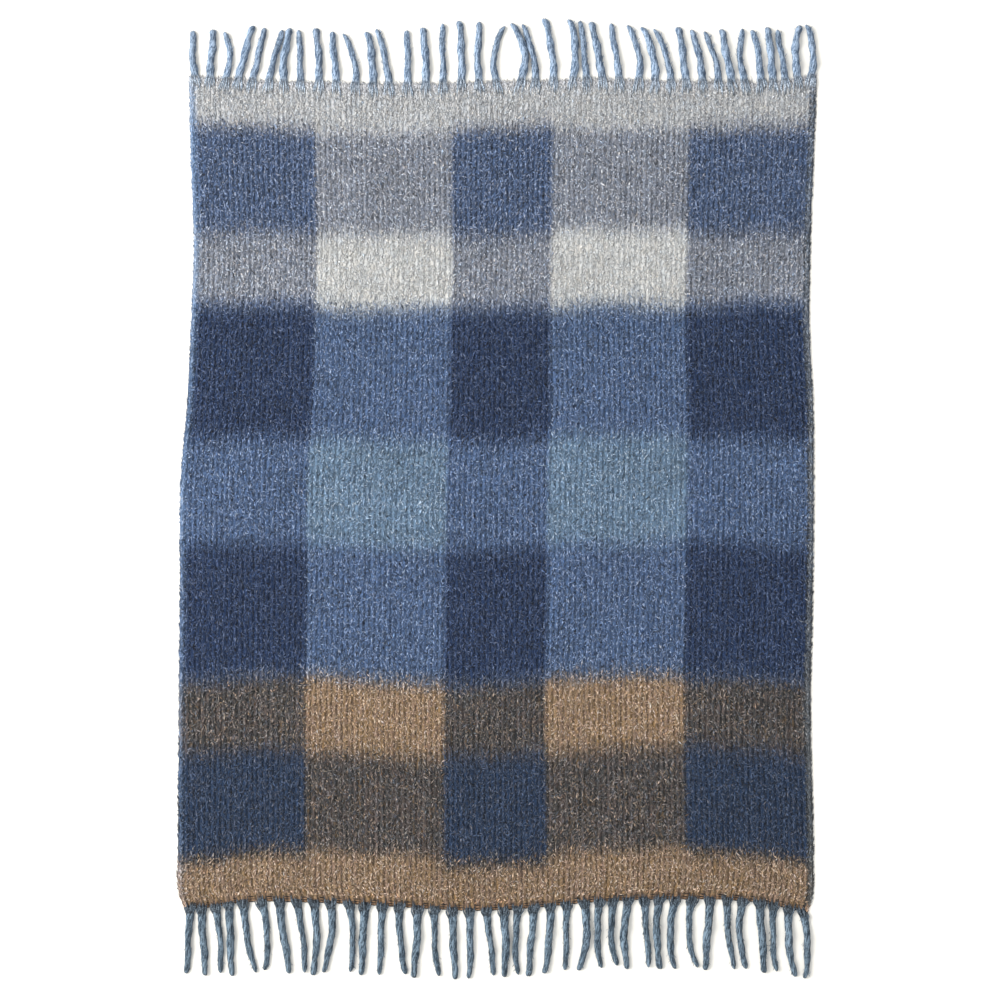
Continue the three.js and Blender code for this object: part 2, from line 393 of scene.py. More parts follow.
class Shader:
    """One material's nodes."""

    def __init__(self, name: str) -> None:
        """Makes a material with a Principled surface.

        Args:
            name: The material's name.
        """
        self.material = bpy.data.materials.new(name)
        self.material.use_nodes = True
        self.tree = self.material.node_tree
        self.surface = self.tree.nodes["Principled BSDF"]

    def _put(self, socket: bpy.types.NodeSocket, value: Value) -> None:
        """Links or sets one socket.

        Args:
            socket: The input socket.
            value: A link's other end, or the value itself.
        """
        if isinstance(value, Flow):
            self.tree.links.new(value.socket, socket)
        elif isinstance(value, (int, float)):
            socket.default_value = value
        else:
            socket.default_value = (*value, 1.0)[:len(socket.default_value)]

    def node(self, kind: str, settings: Mapping[str, Any], inputs: Mapping[Any, Value],
             out: Union[int, str] = 0) -> Flow:
        """Adds a node.

        Args:
            kind: The node's type.
            settings: Its own settings, set first.
            inputs: Values or links by socket number or name.
            out: The number or name of the output that is wanted.

        Returns:
            That output.
        """
        node = self.tree.nodes.new(kind)
        for key, value in settings.items():
            setattr(node, key, value)
        for key, value in inputs.items():
            self._put(node.inputs[key], value)
        return Flow(self, node.outputs[out])

    def place(self) -> Flow:
        """The point's place in the blanket's own frame."""
        return self.node("ShaderNodeTexCoord", {}, {}, "Object")

    def kept(self, name: str) -> Flow:
        """A vector that is kept on the mesh's points."""
        return self.node("ShaderNodeAttribute", {"attribute_name": name}, {}, "Vector")

    def noise(self, where: Flow, grain: Grain) -> Flow:
        """Cloudy noise around 0.5.

        Args:
            where: The places it is read at.
            grain: What it is like.

        Returns:
            The noise, from 0 to 1.
        """
        if grain.drawn:
            where = where.tinted(grain.drawn)
        inputs = {"Vector": where, "Scale": grain.scale, "Detail": grain.detail, "Roughness": grain.rough}
        return self.node("ShaderNodeTexNoise", {}, inputs, "Fac")

    def mixed(self, first: Value, second: Value, share: Value, clamped: bool = True) -> Flow:
        """A mix of two colours.

        Args:
            first: The colour at share 0.
            second: The colour at share 1.
            share: How much of the second.
            clamped: Whether the share stops at 0 and 1, or the mix runs on past both colours.

        Returns:
            The mixed colour.
        """
        inputs = {0: share, MIX_FIRST: first, MIX_SECOND: second}
        settings = {"data_type": "RGBA", "clamp_factor": clamped}
        return self.node("ShaderNodeMix", settings, inputs, MIX_RESULT)

    def hued(self, colour: Flow, share: Value) -> Flow:
        """A colour with a share of its hue: 0 is grey, 1 is the colour and more is deeper."""
        return self.mixed(self.node("ShaderNodeRGBToBW", {}, {"Color": colour}), colour, share, False)

    def bumped(self, height: Flow, depth: float) -> Flow:
        """A normal raised by a height of 0 to 1, with the height of 1 in metres."""
        return self.node("ShaderNodeBump", {}, {"Height": height, "Strength": 1.0, "Distance": depth})

    def finish(self, colour: Value, coat: Coat, varied: Flow,
               normal: Union[Flow, None] = None) -> bpy.types.Material:
        """Sets a matt surface.

        Args:
            colour: Its base colour.
            coat: What it is like.
            varied: Where it is how matt, from 0 to 1.
            normal: Its bumped normal, if any.

        Returns:
            The finished material.
        """
        inputs = self.surface.inputs
        self._put(inputs["Base Color"], colour)
        self._put(inputs["Roughness"], coat.rough + varied * coat.uneven)
        inputs["Sheen Weight"].default_value = coat.sheen
        inputs["Sheen Roughness"].default_value = SHEEN_ROUGHNESS
        inputs["Specular IOR Level"].default_value = SPECULAR_LEVEL
        if normal is not None:
            self._put(inputs["Normal"], normal)
        return self.material


@dataclass(frozen=True)
class Shades:
    """Where warp and weft are both dark, one of each, and both light."""

    dark: Colour
    middle: Colour
    light: Colour


@dataclass(frozen=True)
class Check:
    """A plain block check woven in three zones: a pale head, a blue field and an ochre foot."""

    width: float = 1.30
    length: float = 1.71
    pale: Shades = Shades(dye(91, 109, 141), dye(148, 153, 164), dye(203, 203, 201))
    blue: Shades = Shades(dye(50, 67, 100), dye(95, 116, 151), dye(121, 144, 167))
    ochre: Shades = Shades(dye(53, 70, 97), dye(80, 80, 80), dye(178, 151, 121))
    mauve: Colour = dye(156, 134, 127)
    mauve_run: Span = (0.47, 0.58)
    gold: Colour = dye(188, 148, 100)
    gold_run: Span = (0.46, 0.36)
    heather_share: float = 0.6
    # Painted highlight: a pale blue band along the left selvedge, where the light falls on its rolled edge,
    # fading towards the foot
    left_edge_highlight: Colour = dye(140, 168, 204)
    left_highlight_shares: Span = (0.75, 0.15)
    left_highlight_run: Span = (0.0192, 0.0024)
    right_edges: tuple[Colour, Colour] = (dye(116, 126, 140), dye(94, 97, 98))
    right_share: float = 0.88
    right_run: Span = (0.0150, 0.0108)
    # The head hem: its pale nap, lifted to near white as painted light against the shade on the rolled-down
    # edge
    head_hem_nap_and_light: Colour = dye(212, 212, 217)
    head_hem_light_width: float = 0.026
    head_hem_light_share: float = 0.65
    foot_hem: Colour = dye(238, 194, 158)
    foot_hem_width: float = 0.015
    foot_hem_share: float = 0.95
    bar: Span = (0.104, 0.390)
    bands: tuple[Span, ...] = ((-0.111, 0.111), (0.385, 0.539), (0.761, 1.000))
    header: float = 0.761
    header_tone: float = 0.84
    ochre_gain: float = 0.09
    zone: float = 0.385
    bar_soft: float = 0.006
    band_soft: float = 0.030
    wobble: float = 0.05
    drift: Grain = Grain(7.0, 3.0, 0.55)
    cloud: Grain = Grain(55.0, 3.0, 0.6, (1.0, 0.6, 1.0))
    rib: Grain = Grain(125.0, 2.0, 0.5, (1.0, 0.05, 1.0))
    warm: Colour = (1.03, 1.00, 0.97)
    cool: Colour = (0.97, 1.00, 1.04)
    warm_run: Span = (0.3, 0.7)
    uneven: tuple[float, ...] = (0.55, 0.34, 0.26, 0.30)

    def colour(self, shader: Shader, weave: Flow, stray: Flow) -> Flow:
        """The check's colour at a place in the weave.

        Args:
            shader: The material it goes into.
            weave: Places across and down the cloth in metres, and how far the tone strays.
            stray: How far the nap carries a colour along the warp, in metres.

        Returns:
            The colour.
        """
        across, down, mixed_in = weave.parts()
        drift = shader.noise(weave, self.drift)
        along = down + stray + (drift - 0.5) * self.wobble - self.length / 2
        from_centre = abs(along)
        warp = abs(across - self.width / 2).band(*self.bar, self.bar_soft)
        weft = sum(from_centre.band(*band, self.band_soft) for band in self.bands)
        header = from_centre.step(self.header - self.band_soft, self.header + self.band_soft)
        pale = along.step(-self.zone + self.band_soft, -self.zone - self.band_soft)
        ochre = along.step(self.zone - self.band_soft, self.zone + self.band_soft)
        tone = (warp + weft) * 0.5
        tone = tone + (self.header_tone + ochre * self.ochre_gain - tone) * header + mixed_in
        cloud, rib = shader.noise(weave, self.cloud), shader.noise(weave, self.rib)
        heather = (cloud + rib) * 0.5
        tan = self._shaded(shader, self.ochre, tone)
        for colour, run in ((self.mauve, self.mauve_run), (self.gold, self.gold_run)):
            tan = shader.mixed(tan, colour, heather.step(*run) * tone * self.heather_share)
        field = self._shaded(shader, self.blue, tone)
        field = shader.mixed(field, self._shaded(shader, self.pale, tone), pale)
        field = shader.mixed(field, tan, ochre)
        # Painted highlight on the left selvedge, strongest at the head
        head, foot = self.left_highlight_shares
        lit = across.step(*self.left_highlight_run) * (head + down * ((foot - head) / self.length))
        dim = (self.width - across).step(*self.right_run) * self.right_share
        # Painted light on the head hem, over its pale nap
        first = down.step(self.head_hem_light_width, 0.0) * self.head_hem_light_share
        last = (self.length - down).step(self.foot_hem_width, 0.0) * self.foot_hem_share
        right = shader.mixed(*self.right_edges, down * (1 / self.length))
        edges = ((self.left_edge_highlight, lit), (right, dim), (self.head_hem_nap_and_light, first), (self.foot_hem, last))
        for colour, share in edges:
            field = shader.mixed(field, colour, share)
        field = field.tinted(shader.mixed(self.cool, self.warm, cloud.step(*self.warm_run)))
        base, slow, patchy, ribbed = self.uneven
        return field.shaded(base + drift * slow + cloud * patchy + rib * ribbed)

    @staticmethod
    def _shaded(shader: Shader, shades: Shades, tone: Flow) -> Flow:
        """One zone's colour by tone: 0 for dark, 1 for light."""
        lower = shader.mixed(shades.dark, shades.middle, (tone * 2).least(1.0))
        return shader.mixed(lower, shades.light, (tone * 2 - 1).most(0.0))


@dataclass(frozen=True)
class GroundWool:
    """The woven ground under the nap: ribs, painted shade in the gaps between them and under the hairs, and
    uneven yarn.
    """

    check: Check
    ribs: int
    coat: Coat = Coat(0.86, 0.14, 0.06)
    bump: float = 0.0016
    pick: float = 0.011
    pick_share: float = 0.3
    # Painted shade: how dark the ground gets between ribs and under the nap, less so in pale zones
    gap_shade: float = 0.40
    gap_run: Span = (0.05, 0.6)
    calm: float = 0.38
    pale_run: Span = (0.16, 0.45)
    deepened: float = 1.15
    shades: Span = (0.74, 1.12)
    stray: float = 0.05
    streak: Grain = Grain(330.0, 3.0, 0.6, (1.0, 0.11, 1.0))
    grain: Grain = Grain(430.0, 2.0, 0.6, (1.0, 0.8, 1.0))
    curl: Grain = Grain(260.0, 2.0, 0.5, (1.0, 0.7, 1.0))
    curl_edge: float = 6.0
    felted: Span = (0.7, 0.9)
    relief: Triple = (0.5, 0.35, 0.35)

    def build(self) -> bpy.types.Material:
        """Makes the material.

        Returns:
            The material.
        """
        shader = Shader("brushed_ground")
        weave = shader.kept(WEAVE)
        across, down, _ = weave.parts()
        streak, grain = shader.noise(weave, self.streak), shader.noise(weave, self.grain)
        curl = (1 - abs(shader.noise(weave, self.curl) - 0.5) * self.curl_edge).most(0.0)
        colour = self.check.colour(shader, weave, (streak - 0.5) * self.stray)
        _, _, bright = colour.parts()
        phase = across * (self.ribs * TAU / self.check.width)
        ridge = 0.5 - (phase + math.pi / 2).sine() * 0.5
        lift = (down * (TAU / self.pick) + phase * 0.5).sine() * 0.5 + 0.5
        relief = ridge * (1 - self.pick_share) + ridge * lift * self.pick_share
        pale = bright.step(*self.pale_run)
        # Painted shade: darker in the valleys between ribs and picks and under the hairs, less in pale
        # zones; grain and curls mark paler hair over it
        gap = self.gap_shade + pale * self.calm
        depth = gap + (1 - gap) * relief.step(*self.gap_run)
        grained, curled = self.felted
        felt = gap + (1 - gap) * (grain * grained + curl * curled)
        low, high = self.shades
        colour = shader.hued(colour, self.deepened).shaded(depth * felt * (low + pale * (high - low)))
        ribbed, grained, curled = self.relief
        height = relief * ribbed + grain * grained + curl * curled
        return shader.finish(colour, self.coat, streak, shader.bumped(height, self.bump))


@dataclass(frozen=True)
class NapWool:
    """The brushed hairs, each in the colour of the place that it grows from."""

    check: Check
    name: str
    coat: Coat
    grain: Grain = Grain(460.0)
    grain_shades: Span = (0.15, 1.70)
    stray: float = 0.004
    contrast: float = 1.26
    pale_calm: float = 1.02
    pale_run: Span = (0.22, 0.52)
    tan_calm: float = 0.42
    tan_run: Span = (0.05, 0.20)
    deepest: float = 1.38
    faded: float = 0.36

    def build(self) -> bpy.types.Material:
        """Makes the material.

        Returns:
            The material.
        """
        shader = Shader(self.name)
        grain = shader.noise(shader.place(), self.grain)
        colour = self.check.colour(shader, shader.kept(WEAVE), grain * self.stray)
        red, _, blue = colour.parts()
        yarn = shader.kept(YARN_AND_SHADE)
        _, shade, _ = yarn.parts()
        calm = blue.step(*self.pale_run) * self.pale_calm + (red - blue).step(*self.tan_run) * self.tan_calm
        yarn = shader.mixed((1.0, 1.0, 1.0), yarn, self.contrast - calm, False)
        low, gain = self.grain_shades
        colour = shader.hued(colour, self.deepest - shade * self.faded)
        colour = colour.tinted(yarn).shaded(low + grain * gain)
        return shader.finish(colour, self.coat, grain)


@dataclass(frozen=True)
class FringeWool:
    """The twisted blue yarn of one fringe."""

    name: str
    light: Colour
    dark: Colour
    coat: Coat = Coat(0.84, 0.14, 0.08)
    bump: float = 0.0014
    strand: Grain = Grain(440.0, 3.0, 0.6)
    cloud: Grain = Grain(60.0)
    cloud_shades: Span = (0.75, 0.5)
    speck: Grain = Grain(400.0, 2.0, 0.5, (1.0, 0.7, 1.0))
    felted: Span = (1.5, 0.5)
    light_run: Span = (0.84, 1.16)

    def build(self) -> bpy.types.Material:
        """Makes the material.

        Returns:
            The material.
        """
        shader = Shader(self.name)
        place = shader.place()
        strand, cloud = shader.noise(shader.kept(LAY), self.strand), shader.noise(place, self.cloud)
        stranded, specked = self.felted
        felt = strand * stranded + shader.noise(place, self.speck) * specked
        low, gain = self.cloud_shades
        colour = shader.mixed(self.dark, self.light, felt.step(*self.light_run))
        colour = colour.tinted(shader.kept(YARN_AND_SHADE)).shaded(low + cloud * gain)
        return shader.finish(colour, self.coat, strand, shader.bumped(felt, self.bump))


@dataclass(frozen=True)
class PickWool:
    """The dark brown yarn of the last picks."""

    light: Colour = dye(44, 30, 27)
    dark: Colour = dye(16, 12, 12)
    light_run: Span = (0.4, 0.7)
    coat: Coat = Coat(0.85, 0.1, 0.1)
    bump: float = 0.0004
    twist: Grain = Grain(400.0, 2.0, 0.5, (1.0, 3.0, 3.0))

    def build(self) -> bpy.types.Material:
        """Makes the material.

        Returns:
            The material.
        """
        shader = Shader("brown_picks")
        twist = shader.noise(shader.place(), self.twist)
        colour = shader.mixed(self.dark, self.light, twist.step(*self.light_run))
        return shader.finish(colour, self.coat, twist, shader.bumped(twist, self.bump))


@dataclass(frozen=True)
class StudioFloor:
    """The pale floor."""

    colour: Colour = (0.84, 0.81, 0.75)
    coat: Coat = Coat(0.8, 0.1)
    grain: Grain = Grain(4.0)

    def build(self) -> bpy.types.Material:
        """Makes the material."""
        shader = Shader("pale_floor")
        return shader.finish(self.colour, self.coat, shader.noise(shader.place(), self.grain))


@dataclass(frozen=True)
class Outline:
    """The blanket's uneven outline as it lies."""

    shift: Span

    @classmethod
    def from_frame(cls) -> Outline:
        """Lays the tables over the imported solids.

        Returns:
            The outline, in the solids' frame.
        """
        low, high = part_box("cloth")
        middle = (min(row.left for row in SELVEDGES) + max(row.right for row in SELVEDGES)) / 2
        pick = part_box("head_fringe")[0].y + Fringe.strip
        return cls(((low.x + high.x) / 2 - middle, pick - min(row.head for row in LAST_PICKS)))

    def sides(self, down: Array) -> tuple[Array, Array]:
        """The left and the right selvedge, by the share of the way down from head to foot."""
        places, *edges = zip(*SELVEDGES)
        return tuple(through(places, edge, down) + self.shift[0] for edge in edges)

    def last_pick(self, end: End, x: Array) -> Array:
        """Where an end's last pick lies along the length, by the place across."""
        places, heads, feet = zip(*LAST_PICKS)
        return through(places, heads if end is End.HEAD else feet, x - self.shift[0]) + self.shift[1]

    def plan(self, u: Array, down: Array) -> tuple[Array, Array]:
        """Places on the cloth, seen from above.

        Args:
            u: Shares of the way across from the left selvedge.
            down: Shares of the way down from head to foot.

        Returns:
            Their x and y.
        """
        left, right = self.sides(down)
        x = left + (right - left) * u
        head, foot = self.last_pick(End.HEAD, x), self.last_pick(End.FOOT, x)
        return x, head + (foot - head) * down


@dataclass
class WovenPanel:
    """The ribbed cloth, a closed sheet with rolled selvedges."""

    outline: Outline
    check: Check
    ribs: int = 120
    columns_per_rib: int = 4
    rows: int = 100
    under_share: int = 10
    edge_thickness: float = 0.0030
    loft: float = 0.0013
    loft_run: float = 0.06
    rib_rise: float = 0.0008
    rib_uneven: float = 0.25
    rib_beats: Span = (7.3, 9.1)
    rib_shape: float = 0.8
    rib_waves: tuple[Wave, ...] = (Wave(0.16, 1.7, 3.1), Wave(0.10, 4.3, -9.7), Wave(0.05, 11.9, 23.0))
    roll_rise: float = 0.0009
    roll_width: float = 0.010
    roll_place: float = 0.6
    roll_spread: float = 0.45
    rim_radius: float = 0.0045
    rim_height: float = 0.0007
    face_room: float = 0.9
    under_room: Span = (0.91, 0.07)
    rim_room: Triple = (0.985, 0.985, 0.998)

    def wander(self, u: Array, down: Array) -> Array:
        """How far the ribs stray sideways, in ribs."""
        return rippled(self.rib_waves, u, down)

    def ridge_place(self, rib: Array, down: Array) -> Array:
        """Where a rib's ridge lies, as a share of the width."""
        u = (rib + 0.5) / self.ribs
        return u - self.wander(u, down) / self.ribs

    def ridge(self, u: Array, down: Array) -> Array:
        """1 on the ridge of each rib and 0 between two ribs."""
        return 0.5 - 0.5 * np.cos(TAU * (u * self.ribs + self.wander(u, down)))

    def height(self, u: Array, down: Array) -> Array:
        """The ribbed face's height over the floor.

        Args:
            u: Shares of the way across.
            down: Shares of the way down.

        Returns:
            The heights.
        """
        x, y = self.outline.plan(u, down)
        side = np.minimum(u, 1 - u) * self.check.width
        edge = np.minimum(side, np.minimum(down, 1 - down) * self.check.length)
        body = self.edge_thickness + self.loft * smooth(edge, 0, self.loft_run)
        for swell in SWELLS:
            far = np.hypot(x - swell.x, y - swell.y) / swell.spread
            body = body + swell.rise * np.exp(-far * far)
        number = np.floor(u * self.ribs + self.wander(u, down))
        first, second = self.rib_beats
        gain = 1 + self.rib_uneven * np.sin(first * number) * np.sin(second * down + number)
        rib = self.rib_rise * gain * self.ridge(u, down) ** self.rib_shape
        roll = self.roll_rise * np.exp(-((side / self.roll_width - self.roll_place) / self.roll_spread) ** 2)
        rounded = np.sqrt(1 - (1 - np.clip(edge / self.rim_radius, 0, 1)) ** 2)
        return self.rim_height + (body + rib + roll - self.rim_height) * rounded

    def weave(self, u: Array, down: Array) -> Array:
        """Places in the weave, across and down in metres."""
        return np.stack([u * self.check.width, down * self.check.length, np.zeros_like(u)], axis=-1)

    @staticmethod
    def _grid(columns: int, rows: int) -> tuple[Array, Array, Array]:
        """An even grid's shares across and down, and the number of each point by row and column."""
        u, down = np.meshgrid(np.linspace(0, 1, columns + 1), np.linspace(0, 1, rows + 1))
        return u.ravel(), down.ravel(), np.arange(u.size).reshape(rows + 1, columns + 1)

    @staticmethod
    def _halves(number: Array) -> Array:
        """A grid's cells as triangles that face up, from the points' numbers by row and column."""
        a, b, c, d = number[:-1, :-1], number[:-1, 1:], number[1:, 1:], number[1:, :-1]
        return np.concatenate([np.stack(half, -1).reshape(-1, 3) for half in ((a, d, b), (b, d, c))])

    @staticmethod
    def _rim(face: Array, under: Array) -> Array:
        """Triangles between an edge of the face and the coarser edge under it.

        Args:
            face: The face's points along the edge, anticlockwise round the cloth.
            under: The underside's points along it.

        Returns:
            The triangles.
        """
        share = (len(face) - 1) // (len(under) - 1)
        step = np.arange(len(face) - 1)
        near = (step + share // 2) // share
        fans = np.stack([face[step], under[near], face[step + 1]], 1)
        turn = np.flatnonzero(np.diff(np.append(near, len(under) - 1)))
        closing = np.stack([under[near[turn]], under[near[turn] + 1], face[turn + 1]], 1)
        return np.concatenate([fans, closing])

    def build(self, finish: bpy.types.Material) -> bpy.types.Object:
        """Makes the cloth.

        Args:
            finish: Its ground material.

        Returns:
            The cloth, with its places in the weave kept on its points.
        """
        columns = self.ribs * self.columns_per_rib
        u, down, face = self._grid(columns, self.rows)
        under_u, under_down, number = self._grid(columns // self.under_share, self.rows // self.under_share)
        under = number + len(u)
        top = np.stack([*self.outline.plan(u, down), self.height(u, down)], 1)
        bottom = np.stack([*self.outline.plan(under_u, under_down), np.zeros_like(under_u)], 1)
        sides = ((face[:, 0], under[:, 0]), (face[-1], under[-1]),
                 (face[::-1, -1], under[::-1, -1]), (face[0, ::-1], under[0, ::-1]))
        rims = np.concatenate([self._rim(*side) for side in sides])
        faces = np.concatenate([self._halves(face), self._halves(under)[:, ::-1], rims])
        start, room = self.under_room
        spots = [np.stack([u, self.face_room * down], 1), np.stack([under_u, start + room * under_down], 1)]
        corners = np.concatenate(spots)[faces]
        ring = np.linspace(0, 1, len(rims), endpoint=False)[:, None]
        corners[-len(rims):, :, 0] = np.concatenate([ring, ring + 1 / len(rims), ring], 1)
        corners[-len(rims):, :, 1] = self.rim_room
        sketch = Sketch(np.concatenate([top, bottom]), faces, corners)
        weave = self.weave(np.concatenate([u, under_u]), np.concatenate([down, under_down]))
        return mesh_piece("cloth_panel", sketch, finish, {WEAVE: weave})


class Hairs(NamedTuple):
    """Brushed hairs as arrays: where each grows, and how it runs, leans, bends, rises, is dyed and takes
    painted shade.
    """

    u: Array
    down: Array
    length: Array
    lean: Array
    bend: Array
    lift: Array
    half_width: Array
    yarn: Array
    carried: Array

    def picked(self, which: Array) -> Hairs:
        """Some of the hairs."""
        return Hairs(*(column[which] for column in self))


@dataclass(frozen=True)
class HairKind:
    """One kind of hair: how many there are, and how they vary, lean, lift off the cloth and are shaded."""

    count: int
    length: float
    varied: float
    limits: Span
    width: float
    lean: float
    lift: Span
    tone: Span
    widths: Span = (0.5, 1.3)
    droop: float = 0.6
    root_shade: float = 0.6
    parts: int = 1

    def sizes(self, rng: np.random.Generator) -> tuple[Array, Array]:
        """Draws how long and how wide each hair is.

        Args:
            rng: Where the differences come from.

        Returns:
            The lengths, which are spread evenly over their limits where they aren't varied, and the widths.
        """
        even = not self.varied
        grown = rng.uniform(*self.limits, self.count) if even else rng.lognormal(0, self.varied, self.count)
        return self.length * np.clip(grown, *self.limits), self.width * rng.uniform(*self.widths, self.count)


def spindles(roots: Array, middles: Array, tips: Array, half_width: Array, rise: float) -> Sketch:
    """Slim closed hairs, pointed at both ends and widest in the middle, with four faces each.

    Args:
        roots: Where the hairs start.
        middles: Their middles, over the line from root to tip.
        tips: Where they end.
        half_width: Half of each hair's width.
        rise: How far its crest stands over its middle, in half widths.

    Returns:
        The hairs, each with a cell of its own on the bake map.
    """
    count = len(roots)
    run = tips - roots
    across = np.stack([run[:, 1], -run[:, 0], np.zeros(count)], 1)
    across *= (half_width / (np.linalg.norm(across, axis=1) + TINY))[:, None]
    crest = middles + np.stack([np.zeros(count), np.zeros(count), rise * half_width], 1)
    points = np.stack([roots, crest - across, crest + across, tips], 1)
    faces = (np.arange(count)[:, None, None] * HAIR_POINTS + HAIR_FACES).reshape(-1, 3)
    cells = math.ceil(math.sqrt(count))
    cell = np.stack([np.arange(count) % cells, np.arange(count) // cells], 1)
    corners = (cell[:, None, None, :] + HAIR_SPOTS[HAIR_FACES]) / cells
    return Sketch(points.reshape(-1, 3), faces, corners.reshape(-1, 3, 2))


@dataclass
class Nap:
    """The brushed nap: short tufts along the ribs and felted curls over them, combed to the head."""

    panel: WovenPanel
    seed: int = 7
    tuft: HairKind = HairKind(
        count=64800, length=0.0095, varied=0.35, limits=(0.5, 1.9), width=0.0027, lean=0.45,
        lift=(0.0003, 0.0015), tone=(0.35, 1.65))
    curl: HairKind = HairKind(
        count=98000, length=0.0082, varied=0.4, limits=(0.4, 2.0), width=0.0020, lean=1.0,
        lift=(0.0006, 0.0022), tone=(0.42, 1.62))
    rim: HairKind = HairKind(
        count=5200, length=0.0095, varied=0.3, limits=(0.5, 1.6), width=0.0012, lean=0.45,
        lift=(0.0002, 0.0010), tone=(0.6, 1.5))
    hem: HairKind = HairKind(
        count=5400, length=0.017, varied=0.3, limits=(0.5, 1.6), width=0.0014, lean=0.20,
        lift=(0.0008, 0.0044), tone=(0.95, 1.85), widths=(0.6, 1.4), droop=0.0, root_shade=1.0)
    stray: HairKind = HairKind(
        count=2600, length=0.034, varied=0.0, limits=(0.5, 1.4), width=0.0009, lean=1.0,
        lift=(0.0016, 0.0030), tone=(1.1, 1.7), widths=(0.6, 1.2), parts=3)
    tuft_stray: float = 0.33
    tuft_room: Span = (0.002, 0.998)
    stray_rooms: tuple[Span, Span] = ((0.02, 0.98), (0.02, 0.99))
    rim_depth: float = 0.008
    hem_depth: float = 0.036
    hem_shortened: float = 0.5
    hem_low: float = 0.2
    bare_hem: float = 0.0125
    overhang: float = 0.0032
    carried: Triple = (0.0022, 0.006, 0.085)
    warmth: float = 0.05
    bend: float = 0.5
    comb: tuple[Wave, ...] = (Wave(0.10, 1.1, 2.3), Wave(0.07, -7.3, 5.1))
    swirl: float = 0.22
    swirl_place: float = 0.1
    swirl_falls: Span = (12.0, 18.0)
    sunk: float = -0.0004
    crest: float = 0.55
    # Painted light at each hair's tip, and painted shade and light from the ribs under it
    tip_shade: float = 1.15
    rib_shade: float = 0.80

    def tufts(self, rng: np.random.Generator) -> Hairs:
        """Short tufts that follow the ribs.

        Args:
            rng: Where their differences come from.

        Returns:
            The tufts.
        """
        per_rib = self.tuft.count // self.panel.ribs
        ribs, along = np.meshgrid(np.arange(self.panel.ribs), np.arange(per_rib))
        down = (along.ravel() + rng.random(ribs.size)) / per_rib * self._covered()
        stray = rng.normal(0, self.tuft_stray, ribs.size) / self.panel.ribs
        u = np.clip(self.panel.ridge_place(ribs.ravel(), down) + stray, *self.tuft_room)
        return self._dyed(rng, self.tuft, u, down, self.tuft.sizes(rng))

    def curls(self, rng: np.random.Generator) -> Hairs:
        """Felted curls that lie over the tufts every way."""
        count, sizes = self.curl.count, self.curl.sizes(rng)
        return self._dyed(rng, self.curl, rng.random(count), rng.random(count) * self._covered(), sizes)

    def _covered(self) -> float:
        """The share of the length that the nap grows on, short of the foot's last picks."""
        return 1 - self.bare_hem / self.panel.check.length

    def strays(self, rng: np.random.Generator) -> Hairs:
        """Long hairs that curl over the face.

        Args:
            rng: Where their differences come from.

        Returns:
            The hairs.
        """
        sizes = self.stray.sizes(rng)
        u, down = (rng.uniform(*room, self.stray.count) for room in self.stray_rooms)
        return self._dyed(rng, self.stray, u, down, sizes)

    def rims(self, rng: np.random.Generator) -> Hairs:
        """The nap of both selvedges.

        Args:
            rng: Where its differences come from.

        Returns:
            The hairs.
        """
        count, sizes = self.rim.count, self.rim.sizes(rng)
        inset = rng.random(count) * self.rim_depth / self.panel.check.width
        u = np.where(np.arange(count) % 2 == 0, inset, 1 - inset)
        return self._dyed(rng, self.rim, u, rng.random(count), sizes)

    def hems(self, rng: np.random.Generator) -> Hairs:
        """The nap that is brushed over the roots of the head fringe.

        Args:
            rng: Where its differences come from.

        Returns:
            The hairs.
        """
        length, width = self.hem.sizes(rng)
        u, near = rng.random(self.hem.count), rng.random(self.hem.count)
        down = (1 - near) * self.hem_depth / self.panel.check.length
        hairs = self._dyed(rng, self.hem, u, down, (length * (1 - self.hem_shortened * near), width))
        return hairs._replace(lift=hairs.lift * (self.hem_low + (1 - self.hem_low) * near ** 3))

    def _dyed(self, rng: np.random.Generator, kind: HairKind, u: Array, down: Array,
              sizes: tuple[Array, Array]) -> Hairs:
        """Adds to some hairs what differs from one to the next.

        Args:
            rng: Where the differences come from.
            kind: Which kind they are.
            u: Where they grow, across.
            down: Where they grow, down.
            sizes: How long and how wide they are.

        Returns:
            The hairs.
        """
        count = len(u)
        length, width = sizes
        # Painted shade: hairs over the gaps between ribs darker and those on the ridges lighter, on top of
        # their random tone
        shade = rng.uniform(*kind.tone, count) * (1 + self.rib_shade * (self.panel.ridge(u, down) - 0.5))
        warm = rng.normal(0, self.warmth, count)
        aside, below = self.swirl_falls
        swirl = self.swirl * np.exp(-aside * (u - self.swirl_place) ** 2 - below * down * down)
        comb = rippled(self.comb, u, down) - swirl
        return Hairs(
            u, down, length, rng.normal(0, kind.lean, count) + comb, rng.normal(0, self.bend, count),
            rng.uniform(*kind.lift, count), width / 2,
            np.stack([shade * (1 + warm), shade, shade * (1 - warm)], 1),
            rng.normal(0, 1, (count, 3)) * self.carried,
        )

    def _spot(self, u: Array, down: Array, rise: Union[Array, float]) -> Array:
        """Places over the cloth, or just past its edges.

        Args:
            u: Shares of the way across.
            down: Shares of the way down.
            rise: How far over the face.

        Returns:
            The points.
        """
        panel = self.panel
        inside_u, inside_down = np.clip(u, 0, 1), np.clip(down, 0, 1)
        x, y = panel.outline.plan(inside_u, inside_down)
        x = x + (u - inside_u) * panel.check.width
        y = y - (down - inside_down) * panel.check.length
        return np.stack([x, y, panel.height(inside_u, inside_down) + rise], 1)

